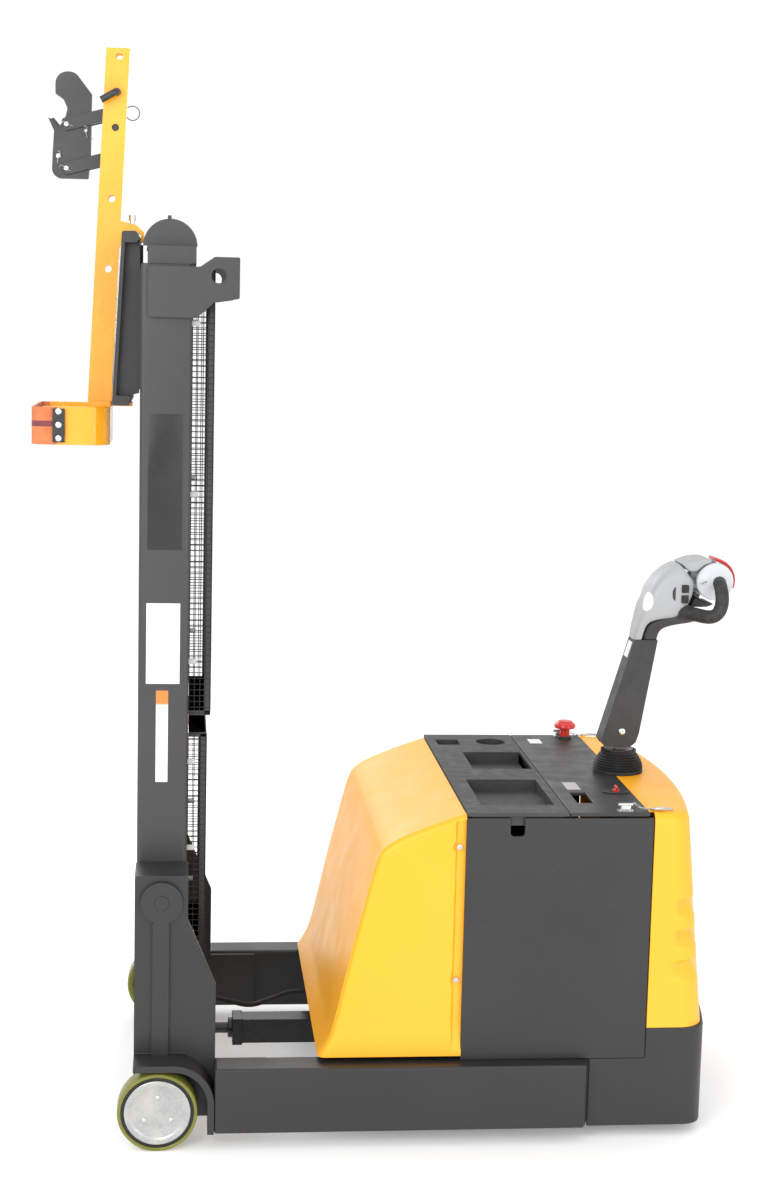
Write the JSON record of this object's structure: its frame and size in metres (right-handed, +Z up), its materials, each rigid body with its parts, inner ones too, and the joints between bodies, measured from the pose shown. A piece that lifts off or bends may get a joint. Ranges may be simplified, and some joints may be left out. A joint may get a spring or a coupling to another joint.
{
  "type": "walkie stacker",
  "caption": "Counterbalanced walk-behind stacker with a tilting mast and a drum handler: a beak grips the rim and a belt cradle steadies the drum.",
  "frame": {"origin": "on the floor, at the middle of the box round the whole machine", "axes": "+X towards the operator, +Y across the machine towards its right side as the operator looks forward, +Z up"},
  "size_m": [1.598, 0.882, 2.327],
  "materials": {
    "frame_grey": "satin textured paint",
    "yellow_cover": "moulded, lightly grained",
    "yellow_steel": "gloss paint",
    "black_plastic": "textured moulding",
    "panel_black": "satin paint",
    "battery_case": "moulded case",
    "bright_steel": "machined",
    "beak_black": "satin black paint",
    "zinc_steel": "zinc plated",
    "polyurethane": "cast polyurethane",
    "cylinder_black": "gloss black paint",
    "chain_steel": "oiled steel",
    "hose_rubber": "moulded rubber",
    "belt_orange": "woven belt, rubber faced",
    "tiller_grey": "moulded",
    "head_grey": "moulded",
    "red_plastic": "gloss moulding",
    "button_black": "soft key"
  },
  "bodies": {
    "root": {"leg_left": "frame_grey", "leg_right": "frame_grey", "tower_left": "frame_grey", "tower_right": "frame_grey", "floor_frame": "frame_grey", "hull_skirt": "frame_grey", "rear_cover": "yellow_cover", "side_plates": "frame_grey", "front_cover": "yellow_cover", "control_panel": "panel_black", "battery": "battery_case", "power_unit": "black_plastic", "cover_screws": "bright_steel"},
    "tray": {"tray_cover": "black_plastic"},
    "front_wheel_left": {"wheel_tyre_left": "polyurethane", "wheel_hub_left": "zinc_steel"},
    "front_wheel_right": {"wheel_tyre_right": "polyurethane", "wheel_hub_right": "zinc_steel"},
    "mast": {"mast_upright_left": "frame_grey", "mast_upright_right": "frame_grey", "mast_ties": "frame_grey", "mast_head": "frame_grey", "lug_plates": "frame_grey", "mast_pivots": "frame_grey", "mesh_guards": "panel_black", "lift_cylinder": "cylinder_black", "lift_chain_rear": "chain_steel", "lift_hose": "hose_rubber"},
    "ram": {"lift_ram": "bright_steel"},
    "sheaves": {"chain_sheaves": "chain_steel"},
    "carriage": {"carriage_frame": "frame_grey", "lift_chain_front": "chain_steel", "post": "yellow_steel", "head_carrier": "beak_black", "lock_pin": "beak_black", "cradle_arms": "yellow_steel", "cradle_belt": "belt_orange", "clamp_plates": "panel_black", "handler_bolts": "bright_steel"},
    "upper_rollers": {"rollers_high": "chain_steel"},
    "lower_rollers": {"rollers_low": "chain_steel"},
    "link_upper": {"links_upper": "beak_black"},
    "link_lower": {"links_lower": "beak_black"},
    "beak": {"beak_plates": "beak_black", "beak_pins": "zinc_steel"},
    "jaw": {"beak_jaw": "beak_black"},
    "tilt_barrel": {"tilt_cylinder": "cylinder_black"},
    "tilt_piston": {"tilt_rod": "bright_steel"},
    "steering": {"drive_unit": "chain_steel", "tiller_boot": "hose_rubber"},
    "drive": {"drive_wheel": "polyurethane"},
    "tiller": {"tiller_arm": "tiller_grey", "tiller_head": "head_grey", "grip_loops": "tiller_grey"},
    "butterfly": {"throttle": "head_grey"},
    "belly": {"belly_switch": "red_plastic"},
    "raise_key": {"button_raise": "button_black"},
    "lower_key": {"button_lower": "button_black"},
    "stop": {"stop_button": "red_plastic"},
    "ignition": {"key": "red_plastic"}
  },
  "joints": [
    {"name": "front_wheel_left_spin", "type": "hinge", "parent": "root", "child": "front_wheel_left", "pos_m": [-0.513, -0.416, 0.085], "axis": [0, 1, 0], "continuous": true},
    {"name": "front_wheel_right_spin", "type": "hinge", "parent": "root", "child": "front_wheel_right", "pos_m": [-0.513, 0.416, 0.085], "axis": [0, 1, 0], "continuous": true},
    {"name": "mast_tilt", "type": "hinge", "parent": "root", "child": "mast", "pos_m": [-0.508, 0, 0.524], "axis": [0, 1, 0], "range_deg": [-3, 4]},
    {"name": "tilt_barrel_swing", "type": "hinge", "parent": "root", "child": "tilt_barrel", "pos_m": [0.107, 0, 0.112], "axis": [0, 1, 0], "range_deg": [-1, 1]},
    {"name": "tilt_rod_slide", "type": "slide", "parent": "tilt_barrel", "child": "tilt_piston", "axis": [-1, 0, 0], "range_m": [-0.03, 0.035]},
    {"name": "carriage_lift", "type": "slide", "parent": "ram", "child": "carriage", "axis": [0, 0, 1], "range_m": [-0.71, 0], "deforming": ["lift_chain_front"]},
    {"name": "ram_slide", "type": "slide", "parent": "mast", "child": "ram", "axis": [0, 0, 1], "range_m": [-0.711, 0.001], "deforming": ["lift_chain_rear"]},
    {"name": "sheave_spin", "type": "hinge", "parent": "ram", "child": "sheaves", "pos_m": [-0.508, 0, 1.815], "axis": [0, 1, 0], "continuous": true},
    {"name": "upper_roller_spin", "type": "hinge", "parent": "carriage", "child": "upper_rollers", "pos_m": [-0.51, 0, 1.805], "axis": [0, 1, 0], "continuous": true},
    {"name": "lower_roller_spin", "type": "hinge", "parent": "carriage", "child": "lower_rollers", "pos_m": [-0.51, 0, 1.65], "axis": [0, 1, 0], "continuous": true},
    {"name": "beak_swing", "type": "hinge", "parent": "carriage", "child": "link_upper", "pos_m": [-0.634, 0, 2.19], "axis": [0, 1, 0], "range_deg": [0, 9]},
    {"name": "lower_link_swing", "type": "hinge", "parent": "carriage", "child": "link_lower", "pos_m": [-0.634, 0, 2.096], "axis": [0, 1, 0], "range_deg": [-1, 10]},
    {"name": "beak_level", "type": "hinge", "parent": "link_upper", "child": "beak", "pos_m": [-0.731, 0, 2.164], "axis": [0, 1, 0], "range_deg": [-10, 1]},
    {"name": "jaw_pivot", "type": "hinge", "parent": "beak", "child": "jaw", "pos_m": [-0.748, 0, 2.096], "axis": [0, 1, 0], "range_deg": [-10, 2], "stiffness_Nm_per_rad": 2},
    {"name": "tray_lift", "type": "slide", "parent": "root", "child": "tray", "axis": [0, 0, 1], "range_m": [0, 0.1]},
    {"name": "stop_press", "type": "slide", "parent": "root", "child": "stop", "axis": [0, 0, 1], "range_m": [-0.006, 0], "stiffness_N_per_m": 800, "springref_m": 0.002},
    {"name": "key_turn", "type": "hinge", "parent": "root", "child": "ignition", "pos_m": [0.497, -0.215, 0.727], "axis": [0, 0, 1], "range_deg": [0, 90]},
    {"name": "steer", "type": "hinge", "parent": "root", "child": "steering", "pos_m": [0.547, 0, 0.3], "axis": [0, 0, 1], "range_deg": [-85, 85]},
    {"name": "drive_spin", "type": "hinge", "parent": "steering", "child": "drive", "pos_m": [0.547, 0, 0.115], "axis": [0, 1, 0], "continuous": true},
    {"name": "tiller_tilt", "type": "hinge", "parent": "steering", "child": "tiller", "pos_m": [0.547, 0, 0.827], "axis": [0, 1, 0], "range_deg": [0, 50], "stiffness_Nm_per_rad": 30, "springref_deg": -68.75, "deforming": ["tiller_boot"]},
    {"name": "throttle_turn", "type": "hinge", "parent": "tiller", "child": "butterfly", "pos_m": [0.746, 0, 1.182], "axis": [0, 1, 0], "range_deg": [-30, 30], "stiffness_Nm_per_rad": 0.6},
    {"name": "belly_press", "type": "slide", "parent": "tiller", "child": "belly", "axis": [-1, 0, 0], "range_m": [0, 0.005], "stiffness_N_per_m": 400, "springref_m": -0.002},
    {"name": "raise_press", "type": "slide", "parent": "tiller", "child": "raise_key", "axis": [0, 1, 0], "range_m": [0, 0.0025], "stiffness_N_per_m": 300, "springref_m": -0.001},
    {"name": "lower_press", "type": "slide", "parent": "tiller", "child": "lower_key", "axis": [0, 1, 0], "range_m": [0, 0.0025], "stiffness_N_per_m": 300, "springref_m": -0.001}
  ],
  "couplings": [
    {"joint": "tilt_barrel_swing", "follows": "mast_tilt", "ratio": -0.1827},
    {"joint": "tilt_rod_slide", "follows": "mast_tilt", "m_per_rad": 0.412},
    {"joint": "ram_slide", "follows": "carriage_lift", "ratio": 1},
    {"joint": "sheave_spin", "follows": "carriage_lift", "rad_per_m": -22.5},
    {"joint": "upper_roller_spin", "follows": "carriage_lift", "rad_per_m": 45.4},
    {"joint": "lower_roller_spin", "follows": "carriage_lift", "rad_per_m": 45.4},
    {"joint": "lower_link_swing", "follows": "beak_swing", "ratio": 1},
    {"joint": "beak_level", "follows": "beak_swing", "ratio": -1}
  ]
}
